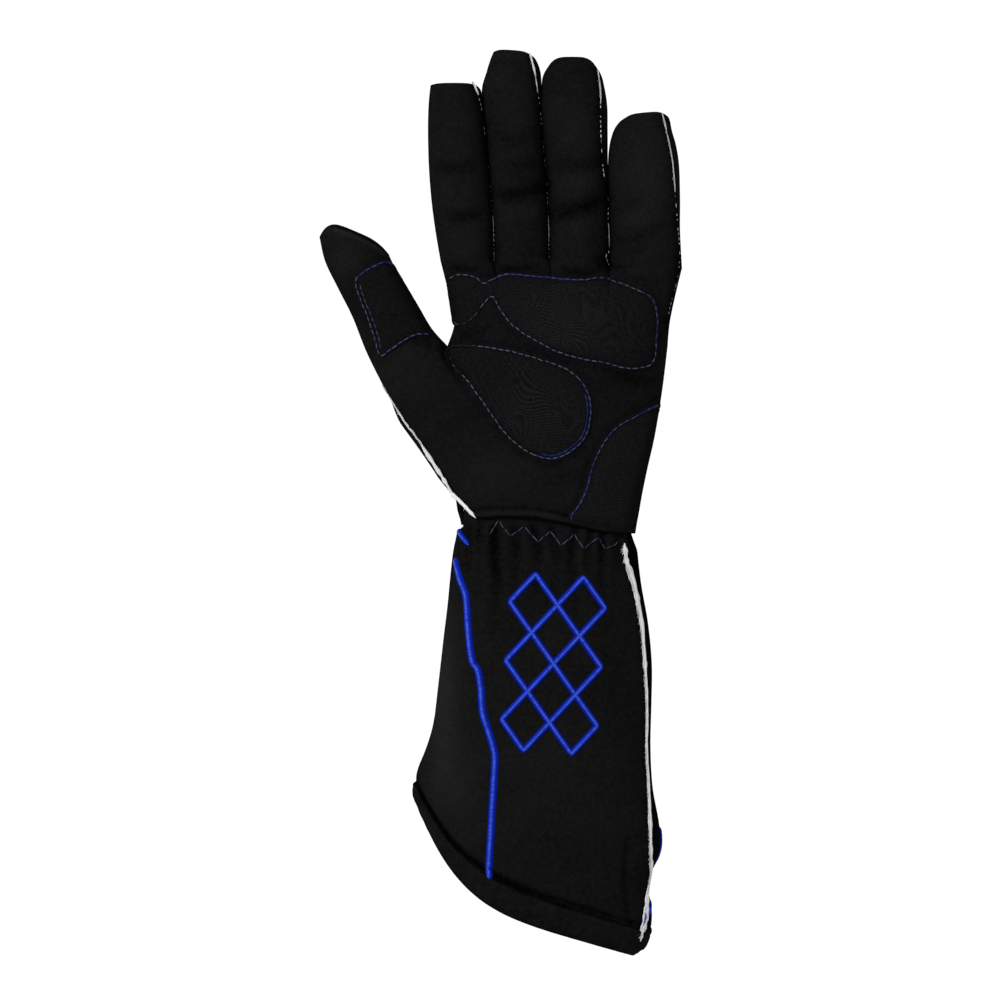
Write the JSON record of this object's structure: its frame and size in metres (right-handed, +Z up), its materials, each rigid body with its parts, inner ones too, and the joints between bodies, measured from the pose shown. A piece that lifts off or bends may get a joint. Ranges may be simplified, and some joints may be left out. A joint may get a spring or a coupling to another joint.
{
  "type": "karting glove",
  "caption": "Long-cuffed karting glove for the left hand, lying palm up, with grip patches, raw seams, a gathered wrist and a bound flared cuff.",
  "frame": {"origin": "under the middle of the glove's bounding box, on the surface that it lies on", "axes": "+X across the hand from the thumb to the little finger, +Y from the cuff to the fingertips, +Z up out of the palm"},
  "size_m": [0.145, 0.3622, 0.0415],
  "materials": {
    "cloth": "matte brushed knit",
    "binding": "matte folded cloth strip",
    "grip": "matte cloth with a fine printed grip",
    "raw_seam": "frayed raw cloth edge",
    "satin_thread": "soft sheen of satin stitches"
  },
  "bodies": {
    "root": {"palm_panel": "cloth", "back_panel": "cloth", "gauntlet_palm_panel": "cloth", "gauntlet_back_panel": "cloth", "hem_binding": "binding", "knuckle_patch": "grip", "palm_patch": "grip", "heel_patch": "grip", "thumb_patch": "grip", "thumb_side_seam": "raw_seam", "index_seam": "raw_seam", "middle_seam": "raw_seam", "ring_seam": "raw_seam", "little_finger_seam": "raw_seam", "gauntlet_side_seam": "raw_seam", "long_blue_line": "satin_thread", "short_blue_line": "satin_thread", "back_blue_line": "satin_thread", "lattice_motif": "satin_thread"}
  },
  "joints": []
}
